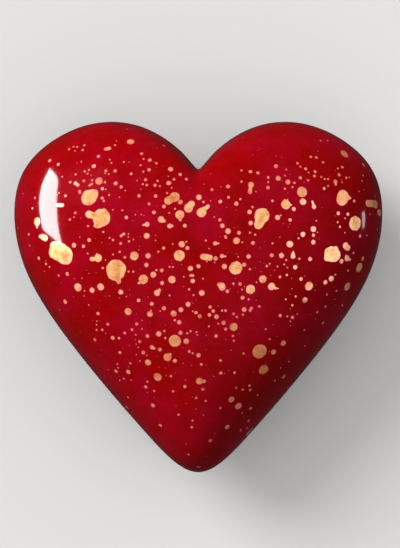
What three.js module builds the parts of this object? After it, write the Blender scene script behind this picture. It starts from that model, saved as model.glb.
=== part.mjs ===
// A puffed chocolate heart, lying on its back with its shown side up.
// Millimetres. X runs across the two lobes, Y from the tip to the lobes and Z through the heart.
// The origin is under the middle of the heart, on the surface that it lies on.

import * as THREE from 'three';
import { mergeVertices } from 'three/addons/utils/BufferGeometryUtils.js';

// Driving dimensions.
const WIDTH = 120; // across both lobes, at their widest
const THICKNESS = 60; // from the front crown to where the back crown would be
const REST_DEPTH = 0.35; // how much of the back crown is cut flat, to lie on

// Half of the edge line, seen from the front: the handles of a smooth curve that runs from the
// cleft, round one lobe and down the side to the tip. Y is 0 where the heart is widest.
const EDGE_HANDLES = [
  [0, 12], // bottom of the cleft
  [3, 19],
  [17.5, 30],
  [36.5, 31], // top of the lobe
  [55, 20],
  [61.5, 5.5], // widest
  [58.5, -19.5],
  [38, -47.5], // side
  [16, -73],
  [0, -90], // tip
];

// The crown is the highest place on each face. Close to it the heart is rounded as an ellipse
// is, and the cleft has faded out.
const CROWN_Y = -13;
const CROWN_HALF_WIDTH = 57;
const CROWN_HALF_HEIGHT = 54;
const PUFF = 0.18; // how much fuller than an ellipse the heart is between crown and edge

// How finely the surface is divided.
const STEPS_PER_HANDLE = 7;
const ROWS = 36;

const CHOCOLATE = new THREE.MeshStandardMaterial({
  color: 0xa2041c,
  roughness: 0.2,
  metalness: 0,
});

// The closed ring of handles: down one side, and back up the other as its mirror image.
function edgeRing() {
  const inner = EDGE_HANDLES.slice(1, -1);
  const mirrored = inner.map(([x, y]) => [-x, y]).reverse();
  return [...EDGE_HANDLES, ...mirrored];
}

// A point of the closed cubic B-spline of the ring. `place` counts handles from the cleft.
function edgePoint(ring, place) {
  const whole = Math.floor(place);
  const t = place - whole;
  const weights = [
    (1 - t) ** 3,
    3 * t ** 3 - 6 * t ** 2 + 4,
    -3 * t ** 3 + 3 * t ** 2 + 3 * t + 1,
    t ** 3,
  ];
  const point = new THREE.Vector2();
  weights.forEach((weight, i) => {
    const [x, y] = ring[(whole - 1 + i + ring.length) % ring.length];
    point.add(new THREE.Vector2(x, y).multiplyScalar(weight / 6));
  });
  return point;
}

// The crown's ellipse, in the direction of `spoke`.
function crownPoint(spoke) {
  const { x, y } = spoke.clone().normalize();
  const reach = 1 / Math.hypot(x / CROWN_HALF_WIDTH, y / CROWN_HALF_HEIGHT);
  return new THREE.Vector2(x, y).multiplyScalar(reach);
}

// The heart's surface. `edge` is a point of the edge line and `rise` an angle, from -90 degrees
// on the back crown to 90 on the front crown. A spoke from the crown to the edge rises as an
// ellipse does, a little fuller, and its length changes from the crown's ellipse to the edge.
function surfacePoint(edge, rise) {
  const spoke = edge.clone().sub(new THREE.Vector2(0, CROWN_Y));
  const out = Math.cos(rise);
  const reach = crownPoint(spoke).lerp(spoke, out).multiplyScalar(out);
  const height = (THICKNESS / 2) * Math.sin(rise) * (1 + PUFF * out ** 2);
  const lowest = REST_DEPTH - THICKNESS / 2;
  return new THREE.Vector3(reach.x, reach.y + CROWN_Y, Math.max(height, lowest));
}

// A ball whose meridians are led along the spokes.
function heartGeometry() {
  const ring = edgeRing();
  const around = ring.length * STEPS_PER_HANDLE;
  const ball = new THREE.SphereGeometry(1, around, ROWS);
  const places = ball.attributes.position;
  for (let i = 0; i < places.count; i += 1) {
    const column = i % (around + 1) % around;
    const row = Math.floor(i / (around + 1));
    const edge = edgePoint(ring, column / STEPS_PER_HANDLE);
    const rise = Math.PI * (row / ROWS - 0.5);
    places.setXYZ(i, ...surfacePoint(edge, rise).toArray());
  }
  ball.deleteAttribute('normal');
  ball.deleteAttribute('uv');
  return mergeVertices(ball);
}

// Brings the heart to its exact width, with its lowest flat on Z = 0 and its middle over the origin.
function settle(geometry) {
  geometry.computeBoundingBox();
  const size = geometry.boundingBox.getSize(new THREE.Vector3());
  const scale = WIDTH / size.x;
  geometry.center();
  geometry.scale(scale, scale, 1);
  geometry.translate(0, 0, size.z / 2);
  geometry.computeVertexNormals();
  return geometry;
}

function chocolateHeart() {
  const heart = new THREE.Mesh(settle(heartGeometry()), CHOCOLATE);
  heart.name = 'chocolate_heart';
  return heart;
}

const group = new THREE.Group();
group.add(chocolateHeart());

export default group;
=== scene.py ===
"""A puffed chocolate heart in a deep red coating, spattered with gold, lying on its back."""

import math
import random

import bmesh
import bpy
import numpy as np
from mathutils import Matrix, Vector
from mathutils.bvhtree import BVHTree
from mathutils.interpolate import poly_3d_calc


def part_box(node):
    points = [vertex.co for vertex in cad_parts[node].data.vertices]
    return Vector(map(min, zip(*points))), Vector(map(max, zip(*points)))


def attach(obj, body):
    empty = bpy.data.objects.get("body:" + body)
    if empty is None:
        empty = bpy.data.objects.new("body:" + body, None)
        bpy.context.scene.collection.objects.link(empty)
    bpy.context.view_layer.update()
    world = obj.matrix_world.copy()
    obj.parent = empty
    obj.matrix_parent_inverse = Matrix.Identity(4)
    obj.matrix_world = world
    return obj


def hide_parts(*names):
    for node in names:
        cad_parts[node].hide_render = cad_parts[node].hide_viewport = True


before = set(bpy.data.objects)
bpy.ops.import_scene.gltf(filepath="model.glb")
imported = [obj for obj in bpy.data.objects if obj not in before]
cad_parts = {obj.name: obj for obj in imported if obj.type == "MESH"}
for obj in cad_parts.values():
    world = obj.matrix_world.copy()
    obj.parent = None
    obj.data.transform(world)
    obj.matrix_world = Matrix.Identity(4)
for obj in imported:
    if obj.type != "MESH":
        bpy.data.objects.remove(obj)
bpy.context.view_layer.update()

MM = 0.001
HEART = "chocolate_heart"
NODE_LOW, NODE_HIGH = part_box(HEART)


def add_object(name, data):
    thing = bpy.data.objects.new(name, data)
    bpy.context.scene.collection.objects.link(thing)
    return thing


def to_object(bm, name):
    mesh = bpy.data.meshes.new(name)
    bm.to_mesh(mesh)
    return add_object(name, mesh)


# ---------------------------------------------------------------- the heart's form, in millimetres

# Half of the edge line, seen from the front: the handles of a smooth curve from the cleft, round
# one lobe and down the side to the tip. Y is 0 where the heart is widest.
EDGE_HANDLES = [
    (0, 12),  # bottom of the cleft
    (3, 19),
    (17.5, 30),
    (36.5, 31),  # top of the lobe
    (55, 20),
    (61.5, 5.5),  # widest
    (58.5, -19.5),
    (38, -47.5),  # side
    (16, -73),
    (0, -90),  # tip
]
EDGE_TOP = 30.07  # the greatest Y of the edge line
EDGE_BOTTOM = -84.2  # and the least
WIDTH = 120
THICKNESS = 60  # from the front crown to where the back crown would be
REST_DEPTH = 0.35  # how much of the back crown is cut flat, to lie on

# The crown is the highest place on each face. Close to it the heart is rounded as an ellipse is.
CROWN_Y = -13
CROWN_HALF_WIDTH = 57
CROWN_HALF_HEIGHT = 54
PUFF = 0.18  # how much fuller than an ellipse the heart is between crown and edge

SEAM_HEIGHT = 0.22  # a fine ridge round the edge, where the two moulded halves are joined
SEAM_HALF_WIDTH = 0.45

HEART_CUTS = 119  # of each edge of the cube that becomes the heart
EDGE_CROWDING = 0.55  # how much closer together the rows are at the edge line
EDGE_SAMPLES = 80  # for each handle


def edge_line():
    """Angles and distances of the edge line about the crown, both in the order of the angles."""
    inner = EDGE_HANDLES[1:-1]
    ring = np.array(EDGE_HANDLES + [(-x, y) for x, y in reversed(inner)], float)
    t = np.linspace(0, 1, EDGE_SAMPLES, endpoint=False)[:, None]
    weights = ((1 - t) ** 3, 3 * t**3 - 6 * t**2 + 4, -3 * t**3 + 3 * t**2 + 3 * t + 1, t**3)
    spans = [
        sum(w * ring[(i - 1 + k) % len(ring)] for k, w in enumerate(weights)) / 6
        for i in range(len(ring))
    ]
    spokes = np.concatenate(spans) - (0, CROWN_Y)
    angles = np.arctan2(spokes[:, 1], spokes[:, 0])
    order = np.argsort(angles)
    return angles[order], np.hypot(*spokes.T)[order]


EDGE_ANGLES, EDGE_REACHES = edge_line()


def form_point(direction):
    """The point of the heart's form in this direction from its middle, in millimetres."""
    x, y, z = direction
    rise = math.atan2(z, math.hypot(x, y))
    angle = math.atan2(y, x)
    out = math.cos(rise)
    edge = float(np.interp(angle, EDGE_ANGLES, EDGE_REACHES, period=math.tau))
    crown = 1 / math.hypot(math.cos(angle) / CROWN_HALF_WIDTH, math.sin(angle) / CROWN_HALF_HEIGHT)
    reach = out * (crown + (edge - crown) * out)
    height = THICKNESS / 2 * math.sin(rise) * (1 + PUFF * out**2)
    reach += SEAM_HEIGHT * math.exp(-((height / SEAM_HALF_WIDTH) ** 2))
    return Vector((reach * math.cos(angle), CROWN_Y + reach * math.sin(angle), height))


def spread(corner):
    """A point of the cube's surface as a direction, with rows crowded towards the edge line."""
    x, y, z = corner
    if abs(z) < 1:
        z *= 1 - EDGE_CROWDING * (1 - z * z)
    return Vector([math.tan(c * math.pi / 4) for c in (x, y, z)])


def make_heart():
    """The heart as one closed skin: a finely cut cube led out to the heart's form."""
    bm = bmesh.new()
    bmesh.ops.create_cube(bm, size=2)
    bmesh.ops.subdivide_edges(bm, edges=bm.edges, cuts=HEART_CUTS, use_grid_fill=True)
    for vert in bm.verts:
        vert.co = form_point(spread(vert.co))
    fit_to_node(bm)
    for face in bm.faces:
        face.smooth = True
    bm.normal_update()
    return bm


def fit_to_node(bm):
    """Brings the form, in millimetres, to the node's own box in metres, and cuts its flat."""
    xs = [v.co.x for v in bm.verts]
    ys = [v.co.y for v in bm.verts]
    middle = Vector(((min(xs) + max(xs)) / 2, (min(ys) + max(ys)) / 2, 0))
    scale = (NODE_HIGH.x - NODE_LOW.x) / (max(xs) - min(xs))
    lowest = REST_DEPTH - THICKNESS / 2
    for vert in bm.verts:
        place = vert.co - middle
        place.z = max(place.z, lowest) - lowest
        vert.co = Vector((place.x * scale, place.y * scale, place.z * MM))


class Skin:
    """The heart's surface, with its smooth normals."""

    def __init__(self, form):
        self.tree = BVHTree.FromBMesh(form)
        form.faces.ensure_lookup_table()
        self.faces = form.faces

    def smooth_normal(self, place, face):
        corners = self.faces[face].verts
        shares = poly_3d_calc([vert.co for vert in corners], place)
        blend = sum((vert.normal * share for vert, share in zip(corners, shares)), Vector())
        return blend.normalized()

    def nearest(self, place):
        """The place of the skin that is nearest to this one, and the normal there."""
        foot, _, face, _ = self.tree.find_nearest(place)
        return foot, self.smooth_normal(foot, face)

    def meet(self, start, way):
        """Where a line from `start` first meets the skin, and the normal there."""
        place, _, face, _ = self.tree.ray_cast(start, way)
        return (place, self.smooth_normal(place, face)) if place else (None, None)


# ---------------------------------------------------------------- the picture

# The camera looks straight down at the heart. The picture is 400 x 548 pixels, and its middle
# lies over CAMERA_OVER, in the part's own frame.
PICTURE_HEIGHT = 548
MIDDLE_PIXEL = (198.3, 214)  # over the middle of the heart, where it is widest
HEART_PIXELS = 368  # across the heart, in the picture
PIXEL = WIDTH / HEART_PIXELS  # millimetres to a pixel at the edge line
CAMERA_OVER = Vector((0.55, 7.5, 0)) * MM
CAMERA_HEIGHT = 640 * MM  # over the edge line
EDGE_HEIGHT = (THICKNESS / 2 - REST_DEPTH) * MM
EYE = CAMERA_OVER + Vector((0, 0, EDGE_HEIGHT + CAMERA_HEIGHT))


def picture_place(x, y):
    """A pixel of the picture as a place on the edge line's plane, in the part's own frame."""
    widest = -(EDGE_BOTTOM + EDGE_TOP) / 2
    right = (x - MIDDLE_PIXEL[0]) * PIXEL
    up = (MIDDLE_PIXEL[1] - y) * PIXEL + widest
    return Vector((right * MM, up * MM, EDGE_HEIGHT))


def sight_of(x, y):
    """The direction in which the camera sees this pixel."""
    return (picture_place(x, y) - EYE).normalized()


# ---------------------------------------------------------------- the gold spatter, in millimetres

# The drops of the shown face, read as (x, y, diameter) in pixels of the picture. These have
# run together with their neighbours, or have beads and tails.
RUN_DROPS = [
    [(115.9, 270, 21), (119, 282.2, 4.4)],
    [
        (60.8, 252.8, 18.4), (55.4, 248, 15.4), (66.2, 257.2, 15.4), (54, 252.4, 13.4),
        (67.4, 253.4, 11.4), (50, 256.4, 2.6),
    ],
    [
        (101.4, 217.8, 18.2), (88.8, 214.1, 7.4), (93, 215, 4.4), (95, 226, 3), (97, 226.6, 3.4),
        (99.4, 226.2, 3.6), (104.4, 210, 3), (109, 221.4, 1.2),
    ],
    [(88.8, 197.6, 16.4), (93.8, 193.8, 9), (96, 191.8, 4)],
    [
        (331, 254, 15.2), (335.6, 255.6, 12.4), (326.4, 258.6, 5), (335.8, 248.8, 5.4), (336, 259.2, 5),
        (327.2, 250.8, 5),
    ],
    [(347, 258.4, 6.4), (350, 259.8, 2.4), (346.2, 255.8, 2.4)],
    [(262, 215.5, 15.5), (258.8, 224.5, 9), (260, 221, 9)],
    [(343.2, 196.6, 13.8), (341.6, 200.4, 11), (351, 198, 1.8), (349.4, 197.6, 3.4)],
    [(206.4, 257.2, 6.8), (202.8, 256.6, 6), (210, 257.8, 6)],
    [(174.5, 197, 10.5), (168.2, 200.7, 8)],
    [(143.4, 279.3, 9.6), (138.5, 283.3, 2.2)],
    [(285.8, 204.5, 9.8), (284.6, 199.2, 1), (287.6, 199.2, 1), (291, 205, 1.8)],
    [(188.5, 208, 9.2), (191.5, 203.8, 6.5)],
    [(179.7, 214.6, 9.2), (180.3, 220.3, 2.6)],
    [(201.4, 212.5, 9.8), (204.4, 208.2, 3.8), (207.8, 206.4, 3.8)],
    [(98, 258, 8.4), (91.6, 259.1, 4.4), (94.6, 259, 2), (96.6, 253.4, 0.8)],
    [(271.6, 286.4, 7.6), (276, 288.5, 2), (278.3, 288.6, 1.2)],
    [(42.6, 237, 6.6), (45.3, 238, 6.6), (39.8, 236.5, 3.4)],
    [(221.4, 285.5, 6.6), (222.5, 287.5, 6.8), (218.6, 284.4, 3.6)],
    [(345.6, 245.7, 7), (347.9, 248.1, 6.2)],
    [(157, 293, 6.4), (159.6, 290.2, 3.2)],
    [(161, 219.5, 6.8), (164.4, 221.3, 3.2)],
    [(169.6, 226, 5), (172.3, 226, 2.6)],
    [(147, 224.4, 5.2), (143, 225, 1.8)],
    [(251, 184.8, 6.2), (250, 192.2, 4.2), (250.3, 189, 3.4)],
    [(150, 314, 6), (151.4, 309.8, 1.2)],
    [(293, 256.2, 5.2), (293.1, 253.8, 3.4), (293.2, 251.8, 1.4)],
    [(60, 205.2, 4), (62.4, 205.2, 4), (57.6, 205.2, 3.6)],
    [(37.1, 221.6, 8.8), (37, 227.6, 2.2)],
    [(215.2, 243.4, 4.4), (218.6, 243.6, 1.8)],
    [(222, 256, 4.2), (225.6, 256.3, 1.8)],
    [(121.2, 235.8, 2.8), (124, 233.9, 2.6)],
    [(313.9, 206.8, 4.6), (313, 203.8, 2.4), (312.2, 201.4, 1.8)],
    [(75.4, 183.3, 4), (78, 185.2, 3.4)],
    [(191.6, 275.4, 3), (193.2, 275.6, 2.4), (190, 275.7, 2.2)],
    [(251.4, 308.3, 3.4), (250, 310.4, 3)],
    [(371.8, 203.6, 7.6), (367.8, 203.2, 6.6), (376.2, 204.3, 8.4), (369.8, 203.4, 6.6), (374, 204, 7.6)],
    [(379.4, 212.6, 7), (378.4, 212.4, 6), (380.3, 212.8, 6)],
    [(151.9, 347.3, 4.6), (154.4, 348.4, 2.6)],
    [(335.5, 181.6, 4.6), (335.8, 184.8, 2.2)],
    [(109, 148.4, 4.6), (106, 148.9, 4.4)],
    [(225.9, 237.6, 2.6), (224.9, 235.2, 1.8)],
    [(91.7, 184, 2.6), (89.4, 185.5, 2.1)],
    [(80, 192.6, 2.5), (79.4, 190.2, 2.2)],
]
# These are round.
ROUND_DROPS = [
    (259.6, 351.4, 15), (235.8, 268, 13.3), (174.8, 340.8, 12.3), (263.6, 369.6, 10.4),
    (179.3, 255.5, 11), (302, 191.9, 10.6), (250.5, 289.4, 9.5), (309, 286.2, 8.8),
    (355.2, 223.4, 15), (341.5, 261.3, 5), (362.8, 258.5, 5), (180.5, 202, 4.8),
    (344.5, 153.8, 9.2), (77.9, 287.3, 8.4), (233.7, 326.9, 8.2), (171.9, 279.6, 7.6), (99, 181, 7.6),
    (128.1, 311.6, 7.3), (100.6, 286.9, 7.2), (236.5, 240.7, 7), (347.4, 286.6, 8.6), (289.8, 244.2, 6.8),
    (181.7, 244.2, 6.5), (262.8, 279.2, 7.8), (147.9, 362.5, 6.5), (173.7, 313.6, 6.3),
    (146.6, 235.8, 6.2), (153.2, 274.7, 6.2), (228, 231.2, 6), (313.4, 229.1, 6), (283.3, 343.2, 6.2),
    (359.3, 267.5, 10), (331.3, 278.7, 6.3), (305, 300, 6), (201.8, 293, 6), (198.8, 197.3, 6),
    (273.5, 352, 5.8), (158.7, 333.9, 5.8), (92.1, 290.2, 5.8), (190.4, 268.4, 5.5),
    (120.7, 292, 5.4), (281.6, 255.5, 5.4), (277.6, 217.5, 5.4), (224.4, 266.5, 5.4), (302.9, 234.3, 5.3),
    (128.3, 372, 5.3), (188.1, 304.3, 5.2), (180.9, 309.8, 5.2), (325.4, 282.4, 5), (74, 245.3, 5),
    (249.6, 212, 4.8), (250.7, 223, 4.8), (222.4, 225.7, 4.8), (168.7, 183, 5), (216.5, 316.8, 5),
    (244.2, 309.5, 5), (65.1, 301.7, 5), (287.9, 182, 5.4), (363.5, 165, 5),
    (283.7, 376.8, 5), (192.7, 281, 4.8), (313.3, 242.2, 4.8), (295.2, 267.3, 4.7), (180.4, 332.9, 4.7),
    (248.6, 256.5, 4.6), (146.3, 264.9, 4.6), (179.3, 322.2, 4.5), (223.7, 322.7, 4.5), (215.6, 258.4, 4.5),
    (236.3, 203.6, 4.4), (278.2, 178.3, 5.4), (244.2, 264.7, 4.3), (198.5, 266.3, 4.3),
    (112.7, 337.8, 4.6), (293.8, 209, 4.2), (163.9, 308.3, 4.2), (310, 259, 4.3), (242.5, 297.7, 4.2),
    (199.8, 316.2, 4.2), (164, 206.5, 4), (154, 212.4, 4), (184.8, 225.7, 4), (187.3, 248, 4), (89, 240, 4),
    (161.7, 270.4, 4), (162, 283, 4), (67.3, 274, 4), (115.6, 183.3, 4), (49.7, 160.5, 4), (116, 371.2, 4),
    (143.4, 352.6, 4), (160, 349.5, 4), (238.9, 232.7, 4), (253, 243, 4), (271.7, 255.2, 4),
    (338.4, 213.3, 4), (220.3, 201.6, 4), (228, 186.5, 4), (151.8, 303.8, 4), (126.3, 217.4, 3.8),
    (138.6, 300.4, 3.8), (94.9, 339.8, 3.7), (227.4, 291.3, 3.7), (292.6, 317.4, 3.7), (147.4, 336.1, 3.9),
    (268, 187.6, 3.6), (301, 279, 3.6), (209.4, 314.9, 3.6), (213.3, 311, 3.6), (195.9, 312.7, 3.5),
    (98, 313.5, 3.5), (280.2, 315.7, 3.5), (119.9, 352.6, 3.5), (240, 284, 3.5), (347.8, 214.2, 3.5),
    (83.5, 246.3, 3.5), (139, 195.8, 3.5), (155.6, 196, 3.5), (102.3, 188.7, 3.5), (276.1, 166.2, 4.4),
    (58.2, 164.3, 3.4), (210.2, 307, 3.4), (290, 220, 3.4), (313.5, 235.2, 3.4), (359.9, 236, 3.4),
    (324.2, 188.5, 3.4), (139.8, 341.6, 3.4), (163.6, 248, 3.3), (219.8, 220, 3.3), (121.2, 187, 3.3),
]
# The rest, most of them fine, by where they lie.
FINE_DROPS = [
    # the left lobe
    (69.1, 149.2, 2.8), (73.7, 146.7, 2.2), (77.2, 147, 2.4), (74.9, 150.9, 1.7), (84.2, 145.3, 2.6),
    (82.6, 150, 2.6), (130.6, 141.7, 7.6), (115, 145.2, 2.2), (98.3, 156.4, 3.3), (93.7, 166.1, 4.4),
    (88.9, 170, 1.9), (84.7, 171.4, 2.3), (87.6, 173.7, 1.7), (75.6, 174.4, 1.9), (81.3, 161.7, 1.4),
    (105.9, 170.8, 2.7), (105, 173.3, 1.3), (108.7, 173.9, 1.5), (115.1, 170.9, 3.5), (111.3, 162.8, 1.9),
    (109.8, 159.7, 1.8), (123.7, 162, 1.9), (131.1, 173.7, 3.1), (141.6, 153.7, 3.3), (143.6, 158.9, 2.1),
    (149.8, 160, 3.9), (156.4, 163.3, 2.6), (140.6, 165.2, 2.2), (149.1, 169.8, 3.7), (143.3, 171.7, 2.3),
    (145.6, 179.7, 3.1), (137.2, 180.6, 1.2), (157.6, 180.9, 2.1), (142.8, 184.2, 1.9), (146.9, 185, 2.7),
    (155, 185.2, 3.3), (159.8, 186.1, 1.9), (173.9, 179.4, 2.7), (170.6, 169.2, 5.4), (180.2, 174.4, 3.5),
    (186.4, 179.1, 3.2), (168.3, 176.3, 1.2), (163.9, 145.6, 2.4), (171.7, 187.8, 1.6), (167.2, 193.1, 2.3),
    (104.8, 182.2, 2.5), (83.9, 180.8, 2.6), (92.2, 180.3, 1.9), (105.6, 189.4, 1.3), (102.2, 198, 2.9),
    (103.8, 200.8, 2.3), (109.1, 195, 2), (119.4, 197.2, 1.4), (149.1, 203.9, 3), (125.3, 190.6, 1.2),
    (70.2, 182.2, 2.5), (65.6, 195.9, 2.6), (58.9, 192.8, 1.4), (62.2, 176.7, 1.2), (112.9, 209.9, 1.6),
    (122.3, 210.3, 1.8), (135.3, 214.7, 1.6), (103.3, 232, 2.3), (109.6, 237.9, 1.8), (112.9, 240, 2.2),
    (120.7, 243.5, 2.8), (128.9, 241.4, 2.3), (133.4, 239.5, 1.6), (128.4, 234.1, 1.4), (128.2, 236.9, 1.3),
    (119.7, 251.9, 2.2), (113, 254.5, 1.8), (124.8, 257.3, 2.7), (75.3, 212.9, 2.6), (69.9, 219.5, 2.4),
    (74, 217.2, 1.4), (88, 226, 2), (34.9, 197.9, 2.2), (28.6, 234.4, 2.4), (38.8, 258.2, 3.6),
    (49.5, 267, 1.9), (58.7, 275.5, 2.3), (102.8, 268, 2.5), (128.6, 271.5, 1.8), (133.3, 271.6, 2.3),
    (84.5, 290.9, 1.6), (88.8, 305, 1.4), (32.4, 208.4, 2.4), (45.9, 263.9, 2.6), (44.4, 271.3, 1.1),
    (29.8, 245.7, 1.2), (87.7, 253.5, 1.5), (105.4, 260, 1.2), (82, 278.2, 1.1), (84.1, 295.9, 1.1),
    # the middle
    (175, 208.8, 2), (169.3, 212.9, 1.8), (203.4, 202, 2.5), (211.9, 189.6, 3), (228.5, 197.3, 2.9),
    (240.4, 199.1, 2.5), (252.5, 207.1, 2.5), (172.7, 244, 1.5), (155.6, 240.4, 1.5), (158.3, 251.8, 2.5),
    (186.3, 241.7, 1.9), (169.6, 266.9, 2), (172.8, 267, 1.8), (156.4, 270.2, 2.2), (205.9, 240.6, 1.9),
    (209, 248.6, 1.3), (206.9, 261.6, 1.5), (214.6, 262.4, 1.3), (202.9, 278.7, 1.9), (183.8, 276.9, 1.5),
    (189.1, 289.3, 2.3), (193.4, 295, 2.1), (169.5, 295.4, 1.9), (192.8, 311.3, 1.7), (214.4, 216.9, 1.3),
    (250, 232.7, 2.3), (255.1, 234.7, 2.3), (242.2, 242.2, 1.7), (272.4, 243.4, 2), (298.5, 238.3, 1.9),
    (286.1, 260, 2.1), (299.3, 258.8, 2.3), (266.8, 266.1, 2.4), (269.7, 263.8, 1.7), (277.5, 266.4, 1.8),
    (284.2, 264.4, 1.6), (287.5, 267.5, 1.3), (279.9, 276.9, 2.7), (286.8, 275, 2.4), (249.9, 269.2, 2.3),
    (238.2, 256.8, 1.5), (233.4, 283.8, 2.6), (256.6, 282.3, 1.5), (242, 289.5, 1.7), (248.6, 299.4, 2),
    (259.2, 306.5, 2.5), (222, 310.6, 2.4), (225.6, 310.6, 2.8), (233.6, 313.9, 2.6), (236.9, 316.9, 2.5),
    (242.9, 314.6, 2.2), (280.8, 215.4, 1.7),
    # the right lobe
    (377.4, 229.5, 2.2), (366.7, 235.5, 1.4), (370, 214.3, 1.4), (320.6, 140.6, 1.9), (327.3, 140.6, 1.9),
    (310.9, 156.9, 3), (316.3, 157.5, 3), (323.1, 162.3, 2.6),
    (241.5, 181.6, 2.3), (241.5, 170.4, 2.1), (250.4, 171.6, 3.8), (257.9, 172.9, 3.3), (268.1, 177.5, 2.7),
    (268.1, 182.1, 2.2), (255.9, 191.6, 1.2), (286.3, 169.4, 1.9), (285, 175.6, 1.7), (294.4, 182.8, 2.7),
    (292.5, 187.1, 2.1), (284.8, 188.8, 2.3), (297.5, 163.4, 2.7), (300.4, 166.6, 2.5), (305.6, 168.8, 3.3),
    (300.4, 177.8, 3.3), (308.1, 180.3, 2.7), (308.5, 172.5, 1.8), (315, 171.6, 3.2), (314.4, 176, 3.1),
    (321.3, 176.9, 2.3), (324.6, 179, 2.5), (328, 179, 2.3), (328.1, 186, 2.2), (337.9, 168.5, 2.1),
    (342.3, 167.1, 3.1), (339.1, 174.8, 3.6), (346.3, 177.8, 2.8), (349.4, 177.3, 1.6), (342.1, 182.3, 1.7),
    (362.9, 175.4, 1.8), (362, 181, 2), (359.1, 191.3, 1.6), (354.1, 201, 3), (375, 195.9, 1.6),
    (272.5, 200.9, 2.6), (339.9, 226.8, 2.3), (337.6, 222.2, 1.8), (345.1, 218.3, 1.3), (344.9, 232.7, 1.3),
    (316.2, 220.7, 1.2), (353.4, 252.9, 2.5), (348.1, 270.6, 2.3), (335.4, 274.7, 1.9),
    # down the right side
    (295.7, 296.4, 2.1), (292.3, 305.2, 2.5), (285.8, 299.3, 1.7), (287.3, 316.3, 1.9), (290.3, 321.3, 1.7),
    (297.1, 314.2, 1.3), (265.7, 329.2, 1.8), (269.8, 339.2, 2), (243.6, 353.5, 2.5), (288.9, 361.5, 2.1),
    (280.6, 367.9, 1.5), (274.8, 380.7, 2.3), (325.4, 306.5, 2.5), (317.3, 312.1, 2.5), (322.9, 322.9, 3.2),
    (304.4, 330, 2.1), (304.8, 345.8, 1.5), (326.9, 294.6, 2.3), (336.5, 290.8, 2.5), (342.1, 305.4, 2.8),
    # down the left side
    (96.9, 321.1, 1.3), (96.4, 324.7, 1.6), (107.8, 324.2, 3.1), (96.7, 329.8, 2.4), (102.2, 329.8, 2.7),
    (118.9, 338.1, 2.7), (124.7, 333, 2.8), (136.7, 323.9, 3.1), (132, 329.7, 2.7), (135.8, 334.7, 1.6),
    (141.9, 329.1, 1.4), (138.3, 347.4, 1.4), (136.4, 354.7, 1.4), (147, 355.2, 1.4), (140, 360.9, 1.3),
    (117.3, 363.9, 2), (118.1, 367.8, 1.6), (130.3, 363.3, 2.4), (123.9, 378.7, 2.2), (119.7, 380.2, 1.6),
    (131.1, 380, 1.6), (164.2, 331.1, 2.6), (165.3, 338, 2.2), (174.7, 320.2, 2.4), (187.2, 333.3, 2.2),
    (190.6, 331.1, 2.2), (196.4, 332.2, 1.8), (197.4, 334.8, 1.3), (186.3, 341.2, 5.8), (208.9, 326.3, 1.8),
    (218.3, 323.7, 1.8), (216.1, 336.1, 3.5), (225.6, 329.1, 3.1), (232.8, 335.9, 2.3), (233.9, 340.6, 2.1),
    (160.2, 311.1, 1.3),
]
# These have a thin, darker middle. The last number is how thin, from 0 to 1.
PITTED_DROPS = [(134.3, 256, 8.8, 0.85), (303, 201.7, 6.8, 0.4), (148, 255.8, 5.6, 0.3)]
EDGE_SOFTNESS = 0.6  # the pixels of a drop's soft edge that the diameters above leave out

# Other drops fall by chance: how many of each kind, and their least and greatest diameter.
TIP_DROPS = [(6, 2.2, 4.2), (40, 0.9, 1.9)]
SHOWN_FACE_DROPS = [(200, 0.22, 0.5)]
BACK_DROPS = [(12, 3.0, 6.6), (55, 1.5, 3.0), (120, 0.8, 1.5), (330, 0.22, 0.8)]
FALL_MIDDLE = (3, -20)  # where most drops fall, as x from the middle and y from the widest place
FALL_SPREAD = (36, 30)
# The tip, where no drop can be read: all that is below the first number, and a round place.
TIP_ZONE_Y = -57
TIP_MIDDLE = (0, -65)
TIP_RADIUS = 22
LOWEST_DROP = 1  # over the floor
CLEARANCE = 0.25  # of a chance drop from the larger ones
LARGER_RADIUS = 0.5  # of the chance drops that later ones keep clear of
BEAD_CHANCE = 0.15  # that a chance drop has a bead at its side
BEAD_AWAY = (0.9, 1.25)  # how far out the bead lies, at least and at most, in radii of the drop
BEAD_RADIUS = (0.3, 0.6)
SEED = 14

# The form of a drop.
DROP_THICKNESS = 0.035
FINEST_SHARE = 0.5  # of this thickness, on the finest drops: it is whole from a radius of 1
DROP_SINK = 0.12  # how far below the coating a drop's underside lies
FINEST_SIDES = 8
SMALL_SIDES = 14
LARGE_SIDES = 40
RUN_SIDES = 72  # of drops that have run together
DROP_SIDES = ((2.2, LARGE_SIDES), (1.0, SMALL_SIDES), (0, FINEST_SIDES))  # from this diameter up
TOP_RINGS = {FINEST_SIDES: 0, SMALL_SIDES: 1, LARGE_SIDES: 2, RUN_SIDES: 2}  # inside the shoulder
SHOULDER_RADIUS = 0.9  # of the top of a drop whose foot has a radius of 1
RING_STEP = 0.3
FOOT, SHOULDER, BAND, MIDDLE, CENTRE = range(5)  # the rings of a drop, from its edge inwards
RIM_WIDTH = 0.5  # from a drop's edge to its band
LEAST_BAND = 0.4  # how near to the middle the band may lie, as a share of the radius
SHOULDER_SHARE = 0.3  # how far the shoulder lies along the way from the edge to the band
LEAST_UNEVENNESS = 0.018  # of a drop's outline, as a share of its radius
MORE_UNEVENNESS = 0.006  # for each millimetre of its diameter
OUTLINE_WAVES = range(2, 10)  # how many times the waves of that unevenness go round
BLEND = 3.5  # how tightly run drops keep their own round outlines
RUN_MARGIN = 1.1  # how far out the search for their edge starts, as a share of their furthest reach
RUN_STEPS = 40  # of that search, for each radius of the first of them

# Gold is redder near a drop's edge. A full drop has the colours that lie FULLNESS further inside a
# fine one.
FINE_RADIUS = 0.5  # up to this, a drop is fine
FULL_RADIUS = 2.0  # from this, it is full
FULLNESS = 0.45
COVER = (0.98, 0.05)  # how well a drop hides the red: mean and spread
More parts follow.
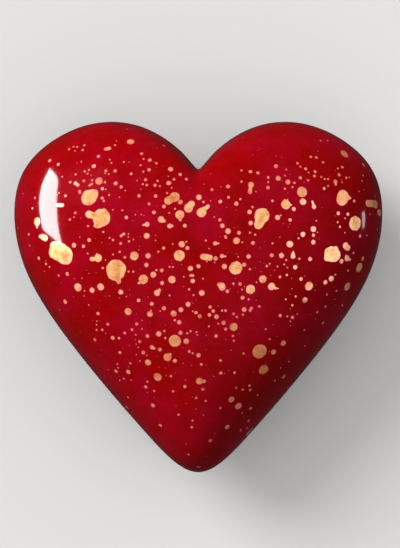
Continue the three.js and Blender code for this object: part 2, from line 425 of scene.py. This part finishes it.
# Painted shade: towards the tip and the tops of the lobes the gold is darker and redder. From these
# places, Y in the part's own frame, cover falls by so much for each millimetre, down to a limit.
SHADED_BELOW = (2, 0.03)
SHADED_ABOVE = (28, 0.08)
MOST_SHADED = 0.55
SHADED_RADIUS = 1.6  # smaller drops get less of the painted shade


def drop_template(sides):
    """One closed round drop of radius 1 and height 1: its points and its faces.

    Each point is its ring, its angle and whether it is on top.
    """
    bm = bmesh.new()
    bmesh.ops.create_cone(
        bm, cap_ends=True, segments=sides, radius1=1, radius2=SHOULDER_RADIUS, depth=1,
        matrix=Matrix.Translation((0, 0, 0.5)),
    )
    top = max(bm.faces, key=lambda f: f.calc_center_median().z)
    bottom = min(bm.faces, key=lambda f: f.calc_center_median().z)
    for _ in range(TOP_RINGS[sides]):
        bmesh.ops.inset_region(bm, faces=[top], thickness=RING_STEP)
    bmesh.ops.poke(bm, faces=[top, bottom])
    points = []
    for vert in bm.verts:
        x, y, z = vert.co
        on_top = z > 0.5
        inwards = round((SHOULDER_RADIUS - math.hypot(x, y)) / RING_STEP)
        ring = SHOULDER + inwards if on_top or inwards > 0 else FOOT
        points.append((ring, math.atan2(y, x), on_top))
    faces = [[v.index for v in f.verts] for f in bm.faces]
    bm.free()
    return points, faces


def run_reach(blobs, angle):
    """How far run-together blobs (x, y, radius), of which the first is at 0, 0, reach at an angle."""
    first_radius = blobs[0][2]
    if len(blobs) == 1:
        return first_radius
    along = (math.cos(angle), math.sin(angle))
    reach = max(math.hypot(x, y) + radius for x, y, radius in blobs) * RUN_MARGIN
    step = first_radius / RUN_STEPS
    while reach > step:
        field = 0
        for x, y, radius in blobs:
            away = ((along[0] * reach - x) ** 2 + (along[1] * reach - y) ** 2) / radius**2
            field += math.exp(BLEND * (1 - away))
        if field >= 1:
            break
        reach -= step
    return reach


def unevenness(chance, diameter):
    """A function of the angle that makes a round drop a little uneven."""
    size = LEAST_UNEVENNESS + MORE_UNEVENNESS * diameter
    waves = [(k, chance.gauss(0, size / k), chance.uniform(0, math.tau)) for k in OUTLINE_WAVES]
    return lambda angle: 1 + sum(high * math.cos(k * angle + phase) for k, high, phase in waves)


def ring_reach(ring, edge):
    """How far a ring of points lies from the drop's middle, where its edge is this far."""
    band = max(LEAST_BAND * edge, edge - RIM_WIDTH)
    shoulder = edge - SHOULDER_SHARE * (edge - band)
    return {FOOT: edge, SHOULDER: shoulder, BAND: band, MIDDLE: band / 2, CENTRE: 0}[ring]


def cover_and_shade_at(place, radius, chance):
    """How well a drop of this size hides the red here, from 0 to 1, lowered as painted shade towards the
    tip and the lobes' tops.
    """
    low, low_fall = SHADED_BELOW
    high, high_fall = SHADED_ABOVE
    y = place.y / MM
    # painted shade: less cover, so darker and redder gold, towards the tip and the lobes' tops
    painted_shade = min(MOST_SHADED, max(0, (low - y) * low_fall, (y - high) * high_fall))
    return min(1, chance.gauss(*COVER)) * (1 - painted_shade * min(1, radius / SHADED_RADIUS))


def tangents(up):
    """The directions across and along the skin that show as the picture's right and up."""
    across = Vector((0, 1, 0)).cross(up)
    if across.length < 0.2:  # where the skin faces nearly along Y
        across = Vector((1, 0, 0))
    across.normalize()
    return across, up.cross(across)


def seen_drop(skin, blobs):
    """Where a drop of the picture lies: its place, its normal and its blobs in millimetres."""
    place, normal = skin.meet(EYE, sight_of(*blobs[0][:2]))
    across, along = tangents(normal)
    nearness = (place - EYE).length / CAMERA_HEIGHT
    on_skin = []
    for x, y, diameter in blobs:
        sight = sight_of(x, y)
        reach = (place - EYE).dot(normal) / sight.dot(normal)
        off = (EYE + sight * reach - place) / MM
        radius = (diameter + EDGE_SOFTNESS) / 2 * PIXEL * nearness
        on_skin.append((off.dot(across), off.dot(along), radius))
    return place, normal, on_skin


def chance_place(skin, chance, from_above, tip_only):
    """Where a drop that falls straight down, or up at the back, meets the heart."""
    while True:
        x, y = (chance.gauss(*fall) for fall in zip(FALL_MIDDLE, FALL_SPREAD))
        if tip_only and y > TIP_ZONE_Y and math.dist((x, y), TIP_MIDDLE) > TIP_RADIUS:
            continue
        start = picture_place(MIDDLE_PIXEL[0] + x / PIXEL, MIDDLE_PIXEL[1] - y / PIXEL)
        way = Vector((0, 0, -1 if from_above else 1))
        place, normal = skin.meet(start - way, way)
        if place and place.z > LOWEST_DROP * MM:
            return place, normal


def chance_blobs(chance, radius):
    """One drop of this radius at 0, 0, and now and then a bead at its side."""
    blobs = [(0, 0, radius)]
    if chance.random() < BEAD_CHANCE:
        angle = chance.uniform(0, math.tau)
        away = radius * chance.uniform(*BEAD_AWAY)
        bead = radius * chance.uniform(*BEAD_RADIUS)
        blobs.append((away * math.cos(angle), away * math.sin(angle), bead))
    return blobs


class Spatter:
    """Drops of gold, laid on the skin one after another and kept as one mesh."""

    def __init__(self, skin):
        self.skin = skin
        self.chance = random.Random(SEED)
        self.templates = {sides: drop_template(sides) for sides in TOP_RINGS}
        self.points = []
        self.normals = []
        self.depth = []
        self.cover_and_shade = []
        self.faces = []
        self.larger = []  # the place and the reach of each drop that chance drops keep clear of

    def lay(self, place, up, blobs, pit=0):
        """Lays a drop along the skin.

        Its blobs are (x, y, radius), in millimetres about its place, and the pit is how thin its
        middle is.
        """
        radius = blobs[0][2]
        sides = next(n for least, n in DROP_SIDES if 2 * radius >= least)
        if len(blobs) > 1 and sides > FINEST_SIDES:
            sides = RUN_SIDES
        points, faces = self.templates[sides]
        across, along = tangents(up)
        wave = unevenness(self.chance, 2 * radius)
        thickness = DROP_THICKNESS * min(1, FINEST_SHARE + (1 - FINEST_SHARE) * radius) * MM
        # how well the gold hides the red, with painted shade towards the tip and the lobes' tops
        cover_and_shade = cover_and_shade_at(place, radius, self.chance)
        fullness = min(1, max(0, (radius - FINE_RADIUS) / (FULL_RADIUS - FINE_RADIUS))) * FULLNESS
        angles = {angle for _, angle, _ in points}
        edges = {angle: run_reach(blobs, angle) * wave(angle) for angle in angles}
        start = len(self.points)
        for ring, angle, on_top in points:
            reach = ring_reach(ring, edges[angle])
            flat = (across * math.cos(angle) + along * math.sin(angle)) * reach * MM
            foot, normal = self.skin.nearest(place + flat)
            self.points.append(foot + normal * (thickness if on_top else -DROP_SINK * MM))
            self.normals.append(normal)
            self.depth.append(edges[angle] - reach + fullness)
            self.cover_and_shade.append(cover_and_shade * (1 - pit if ring == CENTRE else 1))
        self.faces += [[start + i for i in face] for face in faces]

    def lay_seen(self, blobs, pit=0):
        """Lays a drop of the picture."""
        place, normal, on_skin = seen_drop(self.skin, blobs)
        self.lay(place, normal, on_skin, pit)
        self.larger.append((place, max(math.hypot(x, y) + radius for x, y, radius in on_skin)))

    def rain(self, kinds, from_above, tip_only=False):
        """Lets drops of some kinds fall by chance, clear of the larger ones."""
        for count, least, greatest in kinds:
            fallen = 0
            while fallen < count:
                place, normal = chance_place(self.skin, self.chance, from_above, tip_only)
                radius = (least + (greatest - least) * self.chance.random() ** 2) / 2
                room = radius + CLEARANCE
                if any((place - other).length < (room + reach) * MM for other, reach in self.larger):
                    continue
                self.lay(place, normal, chance_blobs(self.chance, radius))
                if radius > LARGER_RADIUS:
                    self.larger.append((place, radius))
                fallen += 1

    def to_object(self, name):
        mesh = bpy.data.meshes.new(name)
        mesh.from_pydata(self.points, [], self.faces)
        for field, values in (("depth", self.depth), ("cover_and_shade", self.cover_and_shade)):
            mesh.attributes.new(field, "FLOAT", "POINT").data.foreach_set("value", values)
        mesh.shade_smooth()
        mesh.normals_split_custom_set_from_vertices(self.normals)
        return add_object(name, mesh)


def make_spatter(skin):
    """All the gold: the drops read from the picture, and then those that fall by chance."""
    spatter = Spatter(skin)
    for blobs in RUN_DROPS:
        spatter.lay_seen(blobs)
    for drop in ROUND_DROPS + FINE_DROPS:
        spatter.lay_seen([drop])
    for x, y, diameter, pit in PITTED_DROPS:
        spatter.lay_seen([(x, y, diameter)], pit)
    spatter.rain(TIP_DROPS, from_above=True, tip_only=True)
    spatter.rain(SHOWN_FACE_DROPS, from_above=True)
    spatter.rain(BACK_DROPS, from_above=False)
    return spatter.to_object("gold_spatter")


# ---------------------------------------------------------------- materials

SCARLET = (0.2, 0.0003, 0.0008)
CRIMSON = (0.235, 0.0003, 0.008)
PEEL_DEPTH = 0.02 * MM
# Gold by how far inside a drop it lies, in millimetres.
GOLD_BY_DEPTH = [
    (0.0, (0.72, 0.13, 0.1)),
    (0.2, (1.0, 0.24, 0.22)),
    (0.5, (1.0, 0.32, 0.26)),
    (0.8, (1.0, 0.46, 0.25)),
    (1.2, (0.97, 0.5, 0.21)),
    (1.9, (0.94, 0.48, 0.18)),
    (2.6, (0.88, 0.41, 0.145)),
    (3.4, (0.82, 0.36, 0.12)),
]
GOLD_DEEPEST = 4
THIN_AND_SHADED_GOLD = (0.5, 0.07, 0.02)  # over the red, where the gold hides it least, and the dark red gold of the painted shade
GRAIN_DEPTH = 0.03 * MM
FLOOR_COLOUR = (0.24, 0.238, 0.235)
BLACK = (0, 0, 0)
WHITE = (1, 1, 1)


def grey(value):
    return (value, value, value)


def new_material(name):
    material = bpy.data.materials.new(name)
    material.use_nodes = True
    nodes = material.node_tree.nodes
    return material, nodes, material.node_tree.links, nodes["Principled BSDF"]


def set_sockets(shader, values):
    for socket, value in values.items():
        shader.inputs[socket].default_value = value


def noise_field(nodes, links, scale, detail=2, roughness=0.5, seed=0):
    """A cloudy pattern on the piece's own coordinates, in metres, from 0 to 1."""
    places = nodes.new("ShaderNodeTexCoord")
    pattern = nodes.new("ShaderNodeTexNoise")
    pattern.noise_dimensions = "4D"
    set_sockets(pattern, {"W": seed, "Scale": scale, "Detail": detail, "Roughness": roughness})
    links.new(places.outputs["Object"], pattern.inputs["Vector"])
    return pattern.outputs["Fac"]


def attribute(nodes, name):
    node = nodes.new("ShaderNodeAttribute")
    node.attribute_name = name
    return node.outputs["Fac"]


def ramp(nodes, links, factor, *stops):
    """Colours at their places along a factor from 0 to 1."""
    node = nodes.new("ShaderNodeValToRGB")
    elements = node.color_ramp.elements
    while len(elements) < len(stops):
        elements.new(0.5)
    for element, (place, colour) in zip(elements, stops):
        element.position = place
        element.color = (*colour, 1)
    links.new(factor, node.inputs["Fac"])
    return node.outputs["Color"]


def mixed(nodes, links, factor, first, second, blend="MIX"):
    """Two colours mixed by a factor. Each of the three is a socket or a value."""
    node = nodes.new("ShaderNodeMix")
    node.data_type = "RGBA"
    node.blend_type = blend
    for socket, value in ((node.inputs[0], factor), (node.inputs[6], first), (node.inputs[7], second)):
        if isinstance(value, (int, float, tuple)):
            socket.default_value = value
        else:
            links.new(value, socket)
    return node.outputs[2]


def tinted(nodes, links, colour, tint):
    return mixed(nodes, links, 1, colour, tint, "MULTIPLY")


def add_bump(nodes, links, shader, height, distance, strength):
    bump = nodes.new("ShaderNodeBump")
    set_sockets(bump, {"Strength": strength, "Distance": distance})
    links.new(height, bump.inputs["Height"])
    links.new(bump.outputs["Normal"], shader.inputs["Normal"])


def red_coating():
    """Deep red cocoa butter: sprayed on in clouds, with a faint peel, and glossy."""
    material, nodes, links, shader = new_material("red_coating")
    clouds = noise_field(nodes, links, scale=55, detail=3, roughness=0.6)
    colour = ramp(nodes, links, clouds, (0.43, SCARLET), (0.64, CRIMSON))
    blotches = noise_field(nodes, links, scale=230, detail=3, roughness=0.6, seed=9)
    blotch_tint = ramp(nodes, links, blotches, (0.35, (0.9, 0.88, 0.8)), (0.62, (1.05, 1.05, 1.1)))
    colour = tinted(nodes, links, colour, blotch_tint)
    mist = noise_field(nodes, links, scale=1500, seed=3)
    mist_tint = ramp(nodes, links, mist, (0.35, grey(0.86)), (0.65, WHITE))
    colour = tinted(nodes, links, colour, mist_tint)
    links.new(colour, shader.inputs["Base Color"])
    gloss = ramp(nodes, links, clouds, (0.3, grey(0.06)), (0.7, grey(0.1)))
    links.new(gloss, shader.inputs["Roughness"])
    peel = noise_field(nodes, links, scale=420, detail=1, seed=7)
    add_bump(nodes, links, shader, peel, distance=PEEL_DEPTH, strength=0.4)
    return material


def gold_paint():
    """Copper gold lustre: mottled, yellow inside, with a peach band round each drop."""
    material, nodes, links, shader = new_material("gold_spatter")
    inwards = nodes.new("ShaderNodeMath")
    inwards.operation = "DIVIDE"
    links.new(attribute(nodes, "depth"), inwards.inputs[0])
    inwards.inputs[1].default_value = GOLD_DEEPEST
    stops = [(depth / GOLD_DEEPEST, colour) for depth, colour in GOLD_BY_DEPTH]
    colour = ramp(nodes, links, inwards.outputs[0], *stops)
    patches = noise_field(nodes, links, scale=420, detail=3, roughness=0.55, seed=2)
    patch_tint = ramp(
        nodes, links, patches,
        (0.37, (0.82, 0.56, 0.5)), (0.46, (0.95, 0.9, 0.88)), (0.6, (1.04, 1.08, 1.1)),
    )
    colour = tinted(nodes, links, colour, patch_tint)
    grains = noise_field(nodes, links, scale=1900, roughness=0.6, seed=5)
    grain_tint = ramp(nodes, links, grains, (0.38, (0.7, 0.68, 0.55)), (0.5, WHITE))
    colour = tinted(nodes, links, colour, grain_tint)
    # cover mixes in the darker, redder gold: thin drops, pits, and painted shade towards the tip and the
    # lobes' tops
    colour = mixed(nodes, links, attribute(nodes, "cover_and_shade"), (*THIN_AND_SHADED_GOLD, 1), colour)
    links.new(colour, shader.inputs["Base Color"])
    gloss = ramp(nodes, links, grains, (0.3, grey(0.38)), (0.7, grey(0.24)))
    links.new(gloss, shader.inputs["Roughness"])
    set_sockets(shader, {"Metallic": 0.4, "Coat Weight": 0.6, "Coat Roughness": 0.2})
    add_bump(nodes, links, shader, grains, distance=GRAIN_DEPTH, strength=0.5)
    return material


def pale_floor():
    material, *_, shader = new_material("pale_floor")
    set_sockets(shader, {"Base Color": (*FLOOR_COLOUR, 1), "Roughness": 0.9, "Specular IOR Level": 0})
    return material


def glowing(name, colour, strength):
    material, *_, shader = new_material(name)
    glow = {"Emission Color": (*colour, 1), "Emission Strength": strength}
    set_sockets(shader, {"Base Color": (*BLACK, 1), **glow})
    return material


# ---------------------------------------------------------------- the stage, in metres

STAGE_SIZE = 8
WALL_SIDES = 48
WALL_COLOUR = (1, 0.99, 0.975)
WALL_GLOW = 0.78
ROOM_COLOUR = (0.9, 0.93, 1)
ROOM_GLOW = 0.03
RAYS = ("camera", "diffuse", "glossy", "transmission", "shadow")

SENSOR = 36  # millimetres along the picture's longer side
NEAREST_SEEN = 0.01
FURTHEST_SEEN = 10

# The soft windows to the left and right are panels: where each is, and the place that it faces.
# They are shaped so that their reflections have these outlines, in pixels of the picture.
LEFT_WINDOW = (Vector((-0.457, 0.1525, 0.188)), Vector((-0.047, 0.03, 0.048)))
LEFT_OUTLINE = [
    (49.9, 168), (53.7, 172.2), (56.7, 176.4), (58, 180), (57.5, 187), (56.8, 196), (56.6, 205),
    (57, 215), (57.9, 225), (59.4, 234), (61.3, 241), (62, 245), (57.1, 241.4), (52.5, 237.6), (48, 233.8),
    (43.7, 230), (42, 226.5), (40.7, 219), (39.5, 210), (39.2, 203), (39.9, 195), (41.4, 187),
    (43.7, 180.5), (46.8, 173.7),
]
LEFT_GLOW = 20
RIGHT_WINDOW = (Vector((0.495, 0.103, 0.075)), Vector((0.052, 0.031, 0.046)))
RIGHT_OUTLINE = [(362, 212.5), (364.4, 211.6), (365, 219), (364.4, 227), (362.6, 228.4), (362.2, 220)]
RIGHT_GLOW = 6

# Soft light from far away: the direction that it comes from, its power and its width in degrees.
SOFT_KEY = ((-0.28, 0.24, 0.28), 6.3, 32)
SOFT_FILL = ((0.05, 0.12, 1), 1.7, 100)
FLOOR_FILL = ((0.05, 0.12, 1), 4.8, 140)
# A light that shows only as a sheen on the gold.
GOLD_GLOW_PLACE = (0.64, 0, 0.56)
GOLD_GLOW_AIM = (0.02, 0, 0.05)
GOLD_GLOW_POWER = 3.2
GOLD_GLOW_SIZE = 0.7


def make_camera():
    data = bpy.data.cameras.new("camera")
    data.sensor_width = SENSOR
    data.lens = SENSOR * CAMERA_HEIGHT / (PICTURE_HEIGHT * PIXEL * MM)
    data.clip_start = NEAREST_SEEN
    data.clip_end = FURTHEST_SEEN
    camera = add_object("camera", data)
    camera.location = EYE
    bpy.context.scene.camera = camera


def make_floor():
    bm = bmesh.new()
    bmesh.ops.create_grid(bm, x_segments=1, y_segments=1, size=STAGE_SIZE)
    floor = to_object(bm, "floor")
    floor.data.materials.append(pale_floor())
    floor.visible_glossy = False  # the coating mirrors only the windows and the dim room
    return floor


def seen_only_by(piece, only):
    """Hides a piece from every kind of ray but one."""
    for ray in RAYS:
        setattr(piece, "visible_" + ray, ray == only)


def make_backdrop():
    """A pale wall far round the stage, which only the camera sees."""
    bm = bmesh.new()
    bmesh.ops.create_cone(
        bm, segments=WALL_SIDES, radius1=STAGE_SIZE, radius2=STAGE_SIZE, depth=STAGE_SIZE,
        matrix=Matrix.Translation((0, 0, STAGE_SIZE / 2)),
    )
    wall = to_object(bm, "backdrop")
    wall.data.materials.append(glowing("pale_wall", WALL_COLOUR, WALL_GLOW))
    seen_only_by(wall, "camera")


def make_window(skin, name, panel, outline, glow):
    """A panel whose reflection on the heart has this outline. Nothing else of it is seen."""
    middle, aim = panel
    facing = (aim - middle).normalized()
    bm = bmesh.new()
    corners = []
    for pixel in outline:
        sight = sight_of(*pixel)
        place, normal = skin.meet(EYE, sight)
        away = sight.reflect(normal)
        reach = (middle - place).dot(facing) / away.dot(facing)
        corners.append(bm.verts.new(place + away * reach))
    bm.faces.new(corners)
    window = to_object(bm, name)
    window.data.materials.append(glowing(name, WHITE, glow))
    seen_only_by(window, "glossy")


def add_light(name, kind, place, aim, power, seen):
    """A light. What is seen of it is its light on matt colours, "matt", or its reflection, "gloss"."""
    data = bpy.data.lights.new(name, kind)
    data.energy = power
    light = add_object(name, data)
    light.location = place
    light.rotation_euler = (Vector(aim) - Vector(place)).to_track_quat("-Z", "Y").to_euler()
    light.visible_glossy = seen == "gloss"
    light.visible_diffuse = seen == "matt"
    return light


def add_soft_sky(name, direction, power, width):
    """Even soft light from one direction, this many degrees wide."""
    light = add_light(name, "SUN", direction, (0, 0, 0), power, "matt")
    light.data.angle = math.radians(width)
    return light


def light_only(light, piece):
    """Keeps a light on one piece."""
    alone = bpy.data.collections.new(piece.name + "_only")
    alone.objects.link(piece)
    light.light_linking.receiver_collection = alone


def make_lights(gold, floor):
    """The dim room, the soft light from above, and the sheen on the gold."""
    world = bpy.data.worlds.new("room")
    world.use_nodes = True
    room = {"Color": (*ROOM_COLOUR, 1), "Strength": ROOM_GLOW}
    set_sockets(world.node_tree.nodes["Background"], room)
    bpy.context.scene.world = world
    add_soft_sky("soft_key", *SOFT_KEY)
    add_soft_sky("soft_fill", *SOFT_FILL)
    glow = add_light("gold_glow", "AREA", GOLD_GLOW_PLACE, GOLD_GLOW_AIM, GOLD_GLOW_POWER, "gloss")
    glow.data.size = GOLD_GLOW_SIZE
    light_only(glow, gold)
    light_only(add_soft_sky("floor_fill", *FLOOR_FILL), floor)


# ---------------------------------------------------------------- making

bpy.context.scene.view_settings.view_transform = "Standard"
make_camera()
floor = make_floor()
make_backdrop()

heart_form = make_heart()
heart = to_object(heart_form, "heart_coating")
heart.data.materials.append(red_coating())
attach(heart, "root")
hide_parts(HEART)

skin = Skin(heart_form)
spatter = make_spatter(skin)
spatter.data.materials.append(gold_paint())
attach(spatter, "root")

make_window(skin, "left_window", LEFT_WINDOW, LEFT_OUTLINE, LEFT_GLOW)
make_window(skin, "right_window", RIGHT_WINDOW, RIGHT_OUTLINE, RIGHT_GLOW)
make_lights(spatter, floor)
